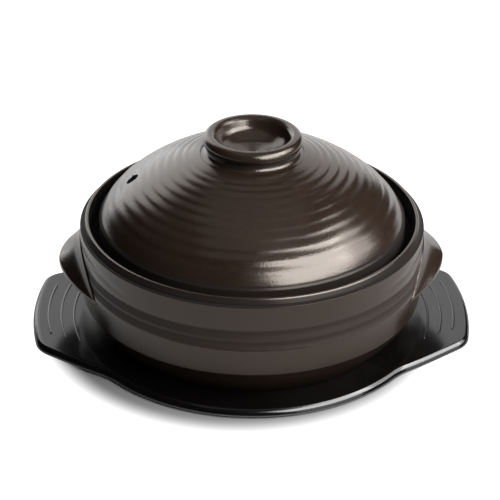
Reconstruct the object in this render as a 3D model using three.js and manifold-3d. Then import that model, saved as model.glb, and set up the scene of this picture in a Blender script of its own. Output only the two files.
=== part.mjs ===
// Lidded clay casserole in the dolsot manner, standing on a moulded serving tray.
// Millimetres, +Z up. The origin is on the table under the middle of the tray.
// The bowl's ears and the tray's wings lie along X, and the front faces -Y.

import * as THREE from 'three';
import { mergeVertices } from 'three/addons/utils/BufferGeometryUtils.js';
import Module from 'manifold-3d';

const wasm = await Module();
wasm.setup();

// Bowl: a thrown wall on a turned foot, with a gallery inside the lip for the lid
const BOWL_RADIUS = 100;
const BOWL_HEIGHT = 67.5;
const BOWL_WALL = 9;
const BOWL_FLOOR = 8;
const KEEL_HEIGHT = 20.5;
const KEEL_TAPER = 15;
const FOOT_RING_WIDTH = 8;
const FOOT_RECESS = 1.5;
const LIP_SETBACK = 1.5;
const LIP_WIDTH = 3.6;
const LIP_HEIGHT = 3.6;
const NECK_DEPTH = 0.9;
const SHOULDER_DROP = 7.2;
const GALLERY_DEPTH = 14;
const LEDGE_THICKNESS = 4;
const LEDGE_BEARING = 7;
const GROOVE_DROP = 22.3;
const GROOVE_PITCH = 7.5;
const GROOVE_COUNT = 2;
const GROOVE_WIDTH = 5.3;
const GROOVE_DEPTH = 0.8;

// Ears: pressed lugs luted to the wall on both sides
const EAR_REACH = 13.4;
const EAR_HALF_WIDTH = 42;
const EAR_TOP_DROP = 11;
const EAR_UPPER = 16.5;
const EAR_LOWER = 3.8;
const EAR_END_FALL = 5.5;
const EAR_END_STEP = 3;
const EAR_ROOT = 6;
const EAR_EDGE = 1;
const EAR_FULLNESS = 1.05;
const EAR_HOLLOW = 1.9;
const EAR_SQUARENESS = 0.35;

// Lid: a thrown dome with throwing rings, one steam vent and a flange that sits in the gallery
const GALLERY_CLEARANCE = 6;
const FLANGE_HEIGHT = 15.2;
const FLANGE_OVERHANG = 2.1;
const LID_SEAT_WIDTH = 9;
const LID_SHOULDER_HEIGHT = 19.4;
const LID_SHOULDER_ROUND = 7.4;
const DOME_RISE = 37.9;
const LID_WALL = 6;
const RING_PITCH = 5.1;
const RING_DEPTH = 0.4;
const RING_MARGIN = 4.4;
const VENT_DIAMETER = 6.5;
const VENT_INSET = 17.5;
const VENT_AZIMUTH = 177;

// Knob: a hollow ring luted to the crown of the lid
const KNOB_RADIUS = 28.6;
const KNOB_HEIGHT = 12.7;
const KNOB_CREST_INSET = 4.1;
const KNOB_ROLL_WIDTH = 7.2;
const KNOB_ROLL_DROP = 2.7;
const KNOB_ROLL_HEIGHT = 5.6;
const KNOB_EDGE_DROP = 1.3;
const KNOB_WAIST = 2.3;
const KNOB_FLARE = 7;
const KNOB_FLOOR = 4;

// Tray: one moulding with a shallow round dish, two raised wings, a turned-down skirt and a foot ring
const TRAY_MARGIN = 5.5;
const TRAY_FLOOR = 2.7;
const TRAY_RISE = 0.7;
const TRAY_WALL = 2.4;
const TRAY_EDGE = 3.6;
const TRAY_RIM_WIDTH = 2.9;
const SKIRT_CLEARANCE = 0.8;
const FOOT_CLEARANCE = 5;
const TRAY_FOOT_HEIGHT = 1.8;
const TRAY_FOOT_WIDTH = 4;
const TRAY_FOOT_INSET = 5;
const WING_REACH = 24.5;
const WING_LIFT = 4;
const WING_TIP_HALF_WIDTH = 38;
const WING_ROOT_ANGLE = 38.5;
const WING_END_RADIUS = 170;
const WING_CORNER_RADIUS = 15;
const WING_BLEND_RADIUS = 40;
const RIB_COUNT = 3;
const RIB_START = 0.5;
const RIB_PITCH = 7.5;
const RIB_WIDTH = 1.4;
const RIB_HEIGHT = 0.7;
const RIB_HALF_LENGTH = 36;
const RIB_SHORTENING = 4;

// Clearance between pieces that are luted together, and the softening of small edges
const LUTING_GAP = 0.3;
const SOFT_EDGE = 0.7;

// Fineness of the facets
const TURNED_SIDES = 48;
const KNOB_SIDES = 36;
const VENT_SIDES = 12;
const EAR_SECTIONS = 15;
const EAR_STEPS = 6;
const ARC_STEPS = 5;
const BEND_STEPS = 4;
const WELD_DISTANCE = 1e-4;
const CUT_MARGIN = 2;

// Radii and heights that several pieces share
const lipOuter = BOWL_RADIUS - LIP_SETBACK;
const lipInner = lipOuter - LIP_WIDTH;
const footRadius = BOWL_RADIUS - KEEL_TAPER;
const flangeRadius = lipInner - GALLERY_CLEARANCE;
const shoulderRadius = flangeRadius - FLANGE_OVERHANG;
const ledgeInner = flangeRadius - LEDGE_BEARING;
const ledgeHeight = BOWL_HEIGHT - GALLERY_DEPTH;
const domeRadius = (shoulderRadius ** 2 + DOME_RISE ** 2) / (2 * DOME_RISE);
const domeCentre = LID_SHOULDER_HEIGHT + DOME_RISE - domeRadius;
const knobNeck = KNOB_RADIUS - KNOB_WAIST;
const knobFoot = knobNeck + KNOB_FLARE;
const knobSeat = domeCentre + Math.sqrt(domeRadius ** 2 - knobFoot ** 2);
const trayRadius = BOWL_RADIUS + TRAY_MARGIN;
const trayFloorTop = TRAY_FOOT_HEIGHT + TRAY_FLOOR;
const trayTop = trayFloorTop + TRAY_RISE;

const clay = { color: '#43362f', roughness: 0.5, metalness: 0 };
const melamine = { color: '#0b0909', roughness: 0.15, metalness: 0 };

// Welds a geometry into a closed mesh of bare positions, without the triangles that collapse
function weld(geometry) {
  geometry.deleteAttribute('normal');
  geometry.deleteAttribute('uv');
  const welded = mergeVertices(geometry, WELD_DISTANCE);
  const corners = welded.index.array;
  const kept = [];
  for (let i = 0; i < corners.length; i += 3) {
    const [a, b, c] = corners.subarray(i, i + 3);
    if (a !== b && b !== c && c !== a) kept.push(a, b, c);
  }
  welded.setIndex(kept);
  return welded;
}

function toSolid(geometry) {
  const welded = weld(geometry);
  return new wasm.Manifold(new wasm.Mesh({
    numProp: 3,
    vertProperties: new Float32Array(welded.attributes.position.array),
    triVerts: new Uint32Array(welded.index.array),
  }));
}

function toGeometry(solid) {
  const mesh = solid.getMesh();
  const geometry = new THREE.BufferGeometry();
  geometry.setAttribute('position', new THREE.BufferAttribute(mesh.vertProperties, 3));
  geometry.setIndex(new THREE.BufferAttribute(mesh.triVerts, 1));
  return geometry;
}

// Revolves a profile of [radius, height] pairs about Z
function turned(profile, sides) {
  const points = profile.map(([radius, height]) => new THREE.Vector2(radius, height));
  return new THREE.LatheGeometry(points, sides).rotateX(Math.PI / 2);
}

// Points [x, y] of an arc about a centre, from one angle to another in radians
function arc(centre, radius, from, to, steps) {
  const points = [];
  for (let i = 0; i <= steps; i += 1) {
    const angle = from + ((to - from) * i) / steps;
    points.push([centre[0] + radius * Math.cos(angle), centre[1] + radius * Math.sin(angle)]);
  }
  return points;
}

// Inner points of a quadratic curve, without its two ends
function bend(start, control, end, steps) {
  const curve = new THREE.QuadraticBezierCurve(
    new THREE.Vector2(...start),
    new THREE.Vector2(...control),
    new THREE.Vector2(...end),
  );
  return curve.getPoints(steps).slice(1, -1).map((point) => point.toArray());
}

// Joins rings of equal point counts into a closed solid, with both ends capped
function loft(rings, capTriangles) {
  const count = rings[0].length;
  const last = (rings.length - 1) * count;
  const corners = [];
  for (let level = 0; level + 1 < rings.length; level += 1) {
    for (let i = 0; i < count; i += 1) {
      const a = level * count + i;
      const b = level * count + ((i + 1) % count);
      corners.push(a, b, b + count, a, b + count, a + count);
    }
  }
  for (const [a, b, c] of capTriangles) {
    corners.push(c, b, a, last + a, last + b, last + c);
  }
  const geometry = new THREE.BufferGeometry();
  geometry.setAttribute('position', new THREE.Float32BufferAttribute(rings.flat(2), 3));
  geometry.setIndex(corners);
  return geometry;
}

// Outside of the bowl from the foot to the top of the lip
function bowlOutside() {
  const foot = [footRadius, SOFT_EDGE];
  const keel = [BOWL_RADIUS - SOFT_EDGE, KEEL_HEIGHT];
  const neck = [lipOuter - NECK_DEPTH, BOWL_HEIGHT - LIP_HEIGHT - SOFT_EDGE];
  const taperControl = [BOWL_RADIUS - KEEL_TAPER / 3, KEEL_HEIGHT / 2];
  const profile = [
    [footRadius - SOFT_EDGE, 0],
    foot,
    ...bend(foot, taperControl, keel, BEND_STEPS),
    keel,
    [BOWL_RADIUS - SOFT_EDGE / 4, KEEL_HEIGHT + 2 * SOFT_EDGE],
  ];
  for (let i = GROOVE_COUNT - 1; i >= 0; i -= 1) {
    const middle = BOWL_HEIGHT - GROOVE_DROP - i * GROOVE_PITCH;
    profile.push([BOWL_RADIUS, middle - GROOVE_WIDTH / 2]);
    profile.push([BOWL_RADIUS - GROOVE_DEPTH, middle]);
    profile.push([BOWL_RADIUS, middle + GROOVE_WIDTH / 2]);
  }
  profile.push(
    [BOWL_RADIUS, BOWL_HEIGHT - SHOULDER_DROP - 2 * SOFT_EDGE],
    [BOWL_RADIUS - SOFT_EDGE / 2, BOWL_HEIGHT - SHOULDER_DROP],
    neck,
    [lipOuter - SOFT_EDGE / 2, BOWL_HEIGHT - LIP_HEIGHT + SOFT_EDGE],
    [lipOuter, BOWL_HEIGHT - LIP_HEIGHT / 2],
    [lipOuter - LIP_WIDTH / 4, BOWL_HEIGHT - SOFT_EDGE / 2],
    [lipOuter - LIP_WIDTH / 2, BOWL_HEIGHT],
  );
  return profile;
}

// Inside of the bowl from the lip down over the gallery ledge to the floor
function bowlInside() {
  const inner = BOWL_RADIUS - BOWL_WALL;
  const ledgeUnder = ledgeHeight - LEDGE_THICKNESS;
  const wallFoot = [inner, KEEL_HEIGHT + BOWL_FLOOR / 2];
  const floorEdge = [footRadius - 2 * FOOT_RING_WIDTH, BOWL_FLOOR];
  return [
    [lipInner + SOFT_EDGE, BOWL_HEIGHT],
    [lipInner, BOWL_HEIGHT - SOFT_EDGE],
    [lipInner, ledgeHeight],
    [ledgeInner, ledgeHeight],
    [ledgeInner, ledgeUnder],
    [inner, ledgeUnder - (inner - ledgeInner)],
    wallFoot,
    ...bend(wallFoot, [inner, BOWL_FLOOR], floorEdge, BEND_STEPS),
    floorEdge,
    [0, BOWL_FLOOR],
  ];
}

function bowlGeometry() {
  const recessEdge = footRadius - FOOT_RING_WIDTH;
  const underside = [
    [0, FOOT_RECESS],
    [recessEdge - FOOT_RECESS, FOOT_RECESS],
    [recessEdge, 0],
  ];
  return weld(turned([...underside, ...bowlOutside(), ...bowlInside()], TURNED_SIDES));
}

// Section of an ear at a share of its half width, as [radius, height] pairs, hollow on top
function earSection(share) {
  const reach = EAR_REACH * (1 - share ** 2) ** EAR_FULLNESS;
  const top = BOWL_HEIGHT - EAR_TOP_DROP - EAR_END_STEP * share ** 2;
  const tip = BOWL_HEIGHT - EAR_TOP_DROP - EAR_UPPER;
  const bottom = tip - EAR_LOWER - EAR_END_FALL * share ** 2;
  const edge = Math.min(EAR_EDGE, reach);
  const section = [[BOWL_RADIUS - EAR_ROOT, top]];
  for (let i = 0; i <= EAR_STEPS; i += 1) {
    const fall = i / EAR_STEPS;
    const out = edge + (reach - edge) * fall ** EAR_HOLLOW;
    section.push([BOWL_RADIUS + out, top - (top - tip) * fall]);
  }
  for (let i = 1; i <= EAR_STEPS; i += 1) {
    const turn = (Math.PI / 2) * (i / EAR_STEPS);
    const left = reach * Math.max(Math.cos(turn), 0) ** EAR_SQUARENESS;
    section.push([BOWL_RADIUS + left, tip - (tip - bottom) * Math.sin(turn)]);
  }
  section.push([BOWL_RADIUS - EAR_ROOT, bottom]);
  return section;
}

// One ear on the +X side, cut back to the wall it is luted to
function earGeometry() {
  const halfAngle = Math.asin(EAR_HALF_WIDTH / BOWL_RADIUS);
  const rings = [];
  for (let i = 0; i < EAR_SECTIONS; i += 1) {
    const share = (2 * i) / (EAR_SECTIONS - 1) - 1;
    const angle = share * halfAngle;
    rings.push(earSection(share).map(([radius, height]) => [
      radius * Math.cos(angle),
      radius * Math.sin(angle),
      height,
    ]));
  }
  const fan = [];
  for (let i = 1; i + 1 < rings[0].length; i += 1) fan.push([0, i, i + 1]);
  const back = BOWL_RADIUS + LUTING_GAP;
  const wall = [[0, 0], [back, 0], [back, BOWL_HEIGHT], [0, BOWL_HEIGHT]];
  const ear = toSolid(loft(rings, fan));
  return toGeometry(ear.subtract(toSolid(turned(wall, TURNED_SIDES))));
}

// Point on the dome, or on a sphere inside it, at a distance from the axis
function onDome(distance, depth) {
  const angle = Math.asin(distance / domeRadius);
  const radius = domeRadius - depth;
  return [radius * Math.sin(angle), domeCentre + radius * Math.cos(angle)];
}

// Throwing rings from the shoulder up to the knob, as crests with furrows between them
function domeRings() {
  const outermost = shoulderRadius - LID_SHOULDER_ROUND;
  const innermost = knobFoot + RING_MARGIN;
  const count = Math.floor((outermost - innermost) / RING_PITCH) + 1;
  const points = [];
  for (let i = 0; i < count; i += 1) {
    const crest = outermost - i * RING_PITCH;
    points.push(onDome(crest, 0), onDome(crest - RING_PITCH / 2, RING_DEPTH));
  }
  return points;
}

function lidProfile() {
  const seatInner = flangeRadius - LID_SEAT_WIDTH;
  const innerRadius = domeRadius - LID_WALL;
  const crownUnder = knobSeat - LID_WALL;
  const crownEdge = Math.sqrt(innerRadius ** 2 - (crownUnder - domeCentre) ** 2);
  const shoulderTop = onDome(shoulderRadius - LID_SHOULDER_ROUND, 0);
  const shoulderControl = onDome(shoulderRadius - LID_SHOULDER_ROUND / 3, 0);
  const flangeTop = [flangeRadius - SOFT_EDGE / 2, FLANGE_HEIGHT];
  const insideTop = [seatInner, domeCentre + Math.sqrt(innerRadius ** 2 - seatInner ** 2)];
  const insideArc = arc(
    [0, domeCentre],
    innerRadius,
    Math.asin((crownUnder - domeCentre) / innerRadius),
    Math.asin((insideTop[1] - domeCentre) / innerRadius),
    ARC_STEPS,
  );
  return [
    [0, crownUnder],
    [crownEdge, crownUnder],
    ...insideArc.slice(1),
    [seatInner, 0],
    [flangeRadius - SOFT_EDGE, 0],
    [flangeRadius, 2 * SOFT_EDGE],
    [flangeRadius, FLANGE_HEIGHT - SOFT_EDGE],
    flangeTop,
    ...bend(flangeTop, shoulderControl, shoulderTop, BEND_STEPS),
    ...domeRings(),
    [knobFoot, knobSeat],
    [0, knobSeat],
  ];
}

function lidGeometry() {
  const length = LID_SHOULDER_HEIGHT + DOME_RISE + CUT_MARGIN;
  const distance = shoulderRadius - VENT_INSET;
  const azimuth = THREE.MathUtils.degToRad(VENT_AZIMUTH);
  const vent = new THREE.CylinderGeometry(VENT_DIAMETER / 2, VENT_DIAMETER / 2, length, VENT_SIDES);
  vent.rotateX(Math.PI / 2);
  vent.translate(distance * Math.cos(azimuth), distance * Math.sin(azimuth), length / 2);
  return toGeometry(toSolid(turned(lidProfile(), TURNED_SIDES)).subtract(toSolid(vent)));
}

function knobGeometry() {
  const dishRadius = KNOB_RADIUS - KNOB_ROLL_WIDTH;
  const rollFoot = KNOB_HEIGHT - KNOB_ROLL_HEIGHT;
  const foot = [knobFoot, 0];
  const neck = [knobNeck, rollFoot - SOFT_EDGE];
  const widest = [KNOB_RADIUS, KNOB_HEIGHT - KNOB_ROLL_DROP];
  const crest = [KNOB_RADIUS - KNOB_CREST_INSET, KNOB_HEIGHT];
  const dishEdge = [dishRadius, KNOB_HEIGHT - KNOB_EDGE_DROP];
  const dishFloor = [0, KNOB_FLOOR];
  const profile = [
    [0, 0],
    foot,
    ...bend(foot, [knobNeck, SOFT_EDGE], neck, BEND_STEPS),
    neck,
    [KNOB_RADIUS - SOFT_EDGE, rollFoot],
    widest,
    ...bend(widest, [KNOB_RADIUS - SOFT_EDGE, KNOB_HEIGHT], crest, BEND_STEPS),
    crest,
    ...bend(crest, [dishRadius + SOFT_EDGE, KNOB_HEIGHT], dishEdge, BEND_STEPS),
    dishEdge,
    ...bend(dishEdge, [dishRadius - SOFT_EDGE, KNOB_FLOOR], dishFloor, ARC_STEPS),
    dishFloor,
  ];
  return weld(turned(profile, KNOB_SIDES));
}

// Centre of a circle that lies a given distance off a line and off another circle's centre
function tangentCentre(normal, offLine, centre, offCentre) {
  const along = [normal[1], -normal[0]];
  const base = [normal[0] * offLine - centre[0], normal[1] * offLine - centre[1]];
  const forward = base[0] * along[0] + base[1] * along[1];
  const slack = Math.sqrt(forward ** 2 - base[0] ** 2 - base[1] ** 2 + offCentre ** 2);
  const step = slack - forward;
  return [normal[0] * offLine + along[0] * step, normal[1] * offLine + along[1] * step];
}

// First quarter of the tray's plan, from the +X end of a wing round to the +Y side of the dish,
// set in from the real edge by a distance
function trayQuarter(inset) {
  const tip = [trayRadius + WING_REACH, WING_TIP_HALF_WIDTH];
  const rootAngle = THREE.MathUtils.degToRad(WING_ROOT_ANGLE);
  const root = [trayRadius * Math.cos(rootAngle), trayRadius * Math.sin(rootAngle)];
  const side = Math.hypot(tip[0] - root[0], root[1] - tip[1]);
  const normal = [(root[1] - tip[1]) / side, (tip[0] - root[0]) / side];
  const offLine = normal[0] * tip[0] + normal[1] * tip[1];
  const endCentre = [tip[0] - WING_END_RADIUS, 0];
  const corner = tangentCentre(
    normal,
    offLine - WING_CORNER_RADIUS,
    endCentre,
    WING_END_RADIUS - WING_CORNER_RADIUS,
  );
  const blend = tangentCentre(
    normal,
    offLine + WING_BLEND_RADIUS,
    [0, 0],
    trayRadius + WING_BLEND_RADIUS,
  );
  const sideAngle = Math.atan2(normal[1], normal[0]);
  const cornerAngle = Math.atan2(corner[1], corner[0] - endCentre[0]);
  const blendAngle = Math.atan2(blend[1], blend[0]);
  const end = arc(endCentre, WING_END_RADIUS - inset, 0, cornerAngle, BEND_STEPS);
  const round = arc(corner, WING_CORNER_RADIUS - inset, cornerAngle, sideAngle, ARC_STEPS);
  const hollowAngles = [sideAngle - Math.PI, blendAngle - Math.PI];
  const hollow = arc(blend, WING_BLEND_RADIUS + inset, ...hollowAngles, BEND_STEPS);
  const dish = arc([0, 0], trayRadius - inset, blendAngle, Math.PI / 2, 2 * ARC_STEPS);
  return [...end, ...round.slice(1), ...hollow, ...dish.slice(1)];
}

// Whole plan of the tray, counter-clockwise, from one quarter mirrored twice
function trayPlan(inset) {
  const quarter = trayQuarter(inset);
  const left = quarter.slice(0, -1).reverse().map(([x, y]) => [-x, y]);
  const half = [...quarter, ...left];
  const front = half.slice(1, -1).reverse().map(([x, y]) => [x, -y]);
  return [...half, ...front];
}

// Solid with the tray's plan at each level of [height, inset]
function traySlab(levels) {
  const rings = levels.map(([height, inset]) => trayPlan(inset).map(([x, y]) => [x, y, height]));
  const outline = rings[0].map(([x, y]) => new THREE.Vector2(x, y));
  return toSolid(loft(rings, THREE.ShapeUtils.triangulateShape(outline, [])));
}

// Outside of the tray with its rounded upper edge
function trayBody() {
  const edge = arc([TRAY_EDGE, trayTop - TRAY_EDGE], TRAY_EDGE, Math.PI, Math.PI / 2, BEND_STEPS);
  return traySlab([
    [SKIRT_CLEARANCE, SOFT_EDGE],
    [SKIRT_CLEARANCE + SOFT_EDGE, 0],
    ...edge.map(([inset, height]) => [height, inset]),
  ]);
}

// Round dish sunk into the top, with a sloping wall round the flat floor
function trayDish() {
  const floorEdge = [footRadius + FOOT_CLEARANCE, trayFloorTop];
  const rimEdge = [trayRadius - TRAY_RIM_WIDTH, trayTop];
  const control = [rimEdge[0] - TRAY_RISE, trayFloorTop];
  const above = trayTop + CUT_MARGIN;
  return toSolid(turned([
    [0, trayFloorTop],
    floorEdge,
    ...bend(floorEdge, control, rimEdge, BEND_STEPS),
    rimEdge,
    [rimEdge[0], above],
    [0, above],
  ], TURNED_SIDES));
}

// Room under the wings and the floor, so that the moulding is a shell
function trayHollow() {
  const inside = traySlab([
    [-CUT_MARGIN, TRAY_WALL],
    [trayTop - TRAY_WALL, TRAY_WALL],
  ]);
  const pan = toSolid(turned([
    [0, TRAY_FOOT_HEIGHT],
    [trayRadius, TRAY_FOOT_HEIGHT],
    [trayRadius, trayTop],
    [0, trayTop],
  ], TURNED_SIDES));
  return inside.subtract(pan);
}

function trayFoot() {
  const outer = footRadius - TRAY_FOOT_INSET;
  const inner = outer - TRAY_FOOT_WIDTH;
  const top = TRAY_FOOT_HEIGHT + TRAY_FLOOR / 2;
  return toSolid(turned([[inner, 0], [outer, 0], [outer, top], [inner, top], [inner, 0]], TURNED_SIDES));
}

// One raised grip rib on a wing: an arc about the middle of the tray, with round ends
function rib(index, facing) {
  const radius = trayRadius + RIB_START + index * RIB_PITCH;
  const half = Math.asin((RIB_HALF_LENGTH - index * RIB_SHORTENING) / radius);
  const width = RIB_WIDTH / 2;
  const [from, to] = [facing - half, facing + half];
  const centre = (angle) => [radius * Math.cos(angle), radius * Math.sin(angle)];
  const outline = [
    ...arc([0, 0], radius + width, from, to, 2 * ARC_STEPS),
    ...arc(centre(to), width, to, to + Math.PI, BEND_STEPS).slice(1, -1),
    ...arc([0, 0], radius - width, to, from, 2 * ARC_STEPS),
    ...arc(centre(from), width, from + Math.PI, from + 2 * Math.PI, BEND_STEPS).slice(1, -1),
  ].map(([x, y]) => new THREE.Vector2(x, y));
  const sunk = TRAY_WALL / 2;
  const bar = new THREE.ExtrudeGeometry(new THREE.Shape(outline), {
    depth: sunk + RIB_HEIGHT,
    bevelEnabled: false,
  });
  return toSolid(bar.translate(0, 0, trayTop - sunk));
}

// Slopes the wings up from the floor of the dish to their tips
function raiseWings(geometry) {
  const start = footRadius + FOOT_CLEARANCE;
  const run = trayRadius + WING_REACH - start;
  const points = geometry.attributes.position;
  for (let i = 0; i < points.count; i += 1) {
    const share = Math.max(Math.abs(points.getX(i)) - start, 0) / run;
    points.setZ(i, points.getZ(i) + WING_LIFT * share);
  }
  return geometry;
}

function trayGeometry() {
  let tray = trayBody().subtract(trayDish()).subtract(trayHollow()).add(trayFoot());
  for (const facing of [0, Math.PI]) {
    for (let index = 0; index < RIB_COUNT; index += 1) tray = tray.add(rib(index, facing));
  }
  return raiseWings(toGeometry(tray));
}

function piece(name, geometry, finish) {
  const mesh = new THREE.Mesh(geometry, new THREE.MeshStandardMaterial(finish));
  mesh.geometry.computeVertexNormals();
  mesh.name = name;
  return mesh;
}

const earRight = piece('ear_right', earGeometry(), clay);
const earLeft = piece('ear_left', earRight.geometry.clone().rotateZ(Math.PI), clay);

const pot = new THREE.Group();
pot.position.z = trayFloorTop;
pot.add(piece('bowl', bowlGeometry(), clay), earLeft, earRight);

const knob = piece('lid_knob', knobGeometry(), clay);
knob.position.z = knobSeat + LUTING_GAP;

const lid = new THREE.Group();
lid.position.z = ledgeHeight;
lid.add(piece('lid_dome', lidGeometry(), clay), knob);
pot.add(lid);

const casserole = new THREE.Group();
casserole.add(piece('tray', trayGeometry(), melamine), pot);

export default casserole;
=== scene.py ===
"""Dressed model of a lidded clay casserole on its black serving tray.

Lengths are metres in the part's own frame. The origin lies on the table under the middle of
the tray, +Z is up, the ears and the wings lie along X, and the front faces -Y.
"""

import logging
import math
from collections.abc import Sequence
from dataclasses import dataclass
from enum import Enum
from typing import Any, Union

import bmesh
import bpy
import numpy as np
from mathutils import Matrix, Vector


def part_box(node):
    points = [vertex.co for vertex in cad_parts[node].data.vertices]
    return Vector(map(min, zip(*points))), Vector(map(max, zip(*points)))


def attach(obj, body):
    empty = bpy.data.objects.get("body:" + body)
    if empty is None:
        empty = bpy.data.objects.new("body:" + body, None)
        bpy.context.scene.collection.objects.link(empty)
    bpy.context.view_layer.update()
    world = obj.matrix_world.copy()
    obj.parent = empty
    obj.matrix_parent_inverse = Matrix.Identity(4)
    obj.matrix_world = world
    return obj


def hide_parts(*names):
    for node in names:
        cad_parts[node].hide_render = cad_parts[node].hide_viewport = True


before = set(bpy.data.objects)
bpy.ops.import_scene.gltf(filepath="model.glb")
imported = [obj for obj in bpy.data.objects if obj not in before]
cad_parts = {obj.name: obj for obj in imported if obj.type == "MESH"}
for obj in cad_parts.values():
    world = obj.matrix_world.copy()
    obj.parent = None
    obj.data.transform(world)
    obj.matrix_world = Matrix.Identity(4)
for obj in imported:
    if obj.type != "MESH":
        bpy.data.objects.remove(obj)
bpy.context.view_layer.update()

MM = 0.001
WELD = 1e-7
log = logging.getLogger("casserole")

Colour = tuple[float, float, float]
Span = tuple[float, float]
Rows = tuple[tuple[float, ...], ...]
Link = Union["Signal", bpy.types.NodeSocket, bpy.types.Node, float, tuple]


class Body(Enum):
    """Bodies of the part that pieces ride on."""

    TRAY = "tray"
    POT = "pot"
    LID = "lid"


class Side(Enum):
    """Sides of the object, as the sign of X."""

    LEFT = -1
    RIGHT = 1


class Lamp(Enum):
    """Lamps of the studio."""

    KEY = "key_softbox"
    SIDE = "side_softbox"
    STRIP = "low_strip"
    TOP = "top_panel"
    BACK = "back_panel"
    BACK_LEFT = "back_left_panel"


@dataclass(frozen=True)
class Pattern:
    """Noise pattern: lumps to the metre, number of finer layers and their strength."""

    scale: float
    detail: float
    rough: float = 0.5


class Signal:
    """Value in a node tree, on which Python's operators add Math nodes."""

    def __init__(self, bench: "Bench", socket: bpy.types.NodeSocket) -> None:
        """Wraps a socket of the bench's tree."""
        self.bench = bench
        self.socket = socket

    def math(self, operation: str, first: Link, second: Link = 0.0) -> "Signal":
        """Adds a Math node with the named operation on two operands."""
        operands = {0: first, 1: second}
        return self.bench.value("ShaderNodeMath", {"operation": operation}, operands)

    def __add__(self, other: Link) -> "Signal":
        """Adds another value."""
        return self.math("ADD", self, other)

    def __radd__(self, other: Link) -> "Signal":
        """Adds this value to a number."""
        return self.math("ADD", other, self)

    def __sub__(self, other: Link) -> "Signal":
        """Takes another value away."""
        return self.math("SUBTRACT", self, other)

    def __rsub__(self, other: Link) -> "Signal":
        """Takes this value away from a number."""
        return self.math("SUBTRACT", other, self)

    def __mul__(self, other: Link) -> "Signal":
        """Multiplies by another value."""
        return self.math("MULTIPLY", self, other)

    def __rmul__(self, other: Link) -> "Signal":
        """Multiplies a number by this value."""
        return self.math("MULTIPLY", other, self)

    def __truediv__(self, other: Link) -> "Signal":
        """Divides by another value."""
        return self.math("DIVIDE", self, other)

    def __rtruediv__(self, other: Link) -> "Signal":
        """Divides a number by this value."""
        return self.math("DIVIDE", other, self)

    def __mod__(self, other: Link) -> "Signal":
        """Gives the remainder, which is never negative."""
        return self.math("FLOORED_MODULO", self, other)

    def root(self) -> "Signal":
        """Gives the square root."""
        return self.math("SQRT", self)

    def sine(self) -> "Signal":
        """Gives the sine of an angle in radians."""
        return self.math("SINE", self)

    def cosine(self) -> "Signal":
        """Gives the cosine of an angle in radians."""
        return self.math("COSINE", self)

    def floor(self) -> "Signal":
        """Rounds down."""
        return self.math("FLOOR", self)

    def exponent(self) -> "Signal":
        """Raises e to this value."""
        return self.math("EXPONENT", self)

    def logarithm(self) -> "Signal":
        """Gives the natural logarithm."""
        return self.math("LOGARITHM", self, math.e)

    def least(self, other: Link) -> "Signal":
        """Gives the smaller of two values."""
        return self.math("MINIMUM", self, other)

    def most(self, other: Link) -> "Signal":
        """Gives the larger of two values."""
        return self.math("MAXIMUM", self, other)

    def hypot(self, other: "Signal") -> "Signal":
        """Gives the distance from the origin of a place with these two coordinates."""
        return (self * self + other * other).root()

    def ease(self, low: Link, high: Link) -> "Signal":
        """Gives a smooth step from 0 at low to 1 at high, with flat ends."""
        settings = {"interpolation_type": "SMOOTHSTEP"}
        return self.bench.value("ShaderNodeMapRange", settings, {0: self, 1: low, 2: high})

    def band(self, rise: Span, fall: Span) -> "Signal":
        """Gives 1 between two soft edges and 0 outside them."""
        return self.ease(*rise) - self.ease(*fall)


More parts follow.
